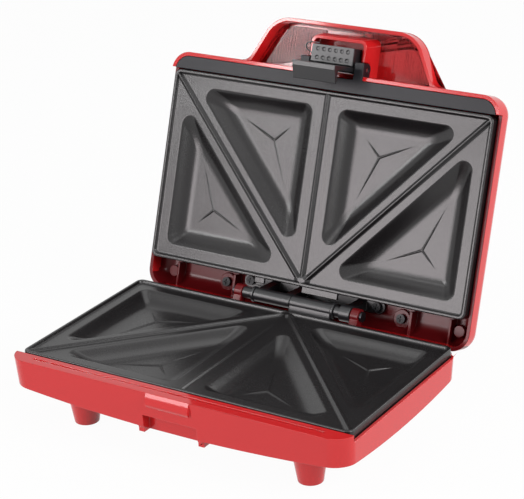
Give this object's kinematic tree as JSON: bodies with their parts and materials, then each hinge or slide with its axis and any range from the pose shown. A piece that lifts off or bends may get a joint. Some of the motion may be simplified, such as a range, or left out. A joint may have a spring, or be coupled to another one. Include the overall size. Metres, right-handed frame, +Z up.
{
  "type": "sandwich toaster",
  "caption": "Red sandwich toaster, open, with a hinged lid, non-stick plates with triangular pockets, a snap latch in the handle and round feet.",
  "frame": {"origin": "centre of the open object's bounding box, in the plane that the feet stand on", "axes": "+X to the user's right, +Y to the back, where the hinge is, +Z up"},
  "size_m": [0.228, 0.2184, 0.2046],
  "materials": {
    "red_shell": "moulded plastic, high gloss",
    "black_trim": "moulded plastic, satin",
    "nonstick": "cast plate with a dark satin non-stick coat",
    "steel": "plain turned steel",
    "dark_steel": "blackened steel",
    "sheet": "bright sheet",
    "element": "heat-dulled steel tube",
    "ceramic": "plain",
    "rubber": "matte",
    "lens": "clear tinted plastic",
    "lamp_glass": "clear"
  },
  "bodies": {
    "base": {"base_shell": "red_shell", "foot_pads": "rubber", "lower_plate": "nonstick", "lower_plate_screws": "steel", "lower_element": "element", "lower_clamps": "sheet", "lower_reflector": "sheet", "lower_reflector_screws": "dark_steel", "lower_thermostat": "ceramic", "thermal_fuse": "steel", "terminal_block": "ceramic", "base_hinge_bracket": "black_trim", "base_hinge_screws": "dark_steel", "hinge_pin": "steel", "hinge_spacers": "black_trim", "cord_gland": "rubber"},
    "lid": {"lid_shell": "red_shell", "lid_front_band": "black_trim", "upper_plate": "nonstick", "upper_element": "element", "upper_clamps": "sheet", "upper_reflector": "sheet", "upper_reflector_screws": "dark_steel", "upper_thermostat": "ceramic", "lid_hinge_bracket": "black_trim", "lid_screws": "dark_steel", "lamp_lenses": "lens", "lamp_tubes": "lamp_glass", "latch_pin": "steel"},
    "latch": {"latch_lever": "black_trim", "latch_spring": "steel"}
  },
  "joints": [
    {"name": "lid_hinge", "type": "hinge", "parent": "base", "child": "lid", "pos_m": [0, 0.03406, 0.0457], "axis": [1, 0, 0], "range_deg": [0, 109]},
    {"name": "latch_pivot", "type": "hinge", "parent": "lid", "child": "latch", "pos_m": [0, 0.08666, 0.18189], "axis": [1, 0, 0], "range_deg": [-21, 0], "stiffness_Nm_per_rad": 0.25, "springref_deg": 8.59}
  ]
}
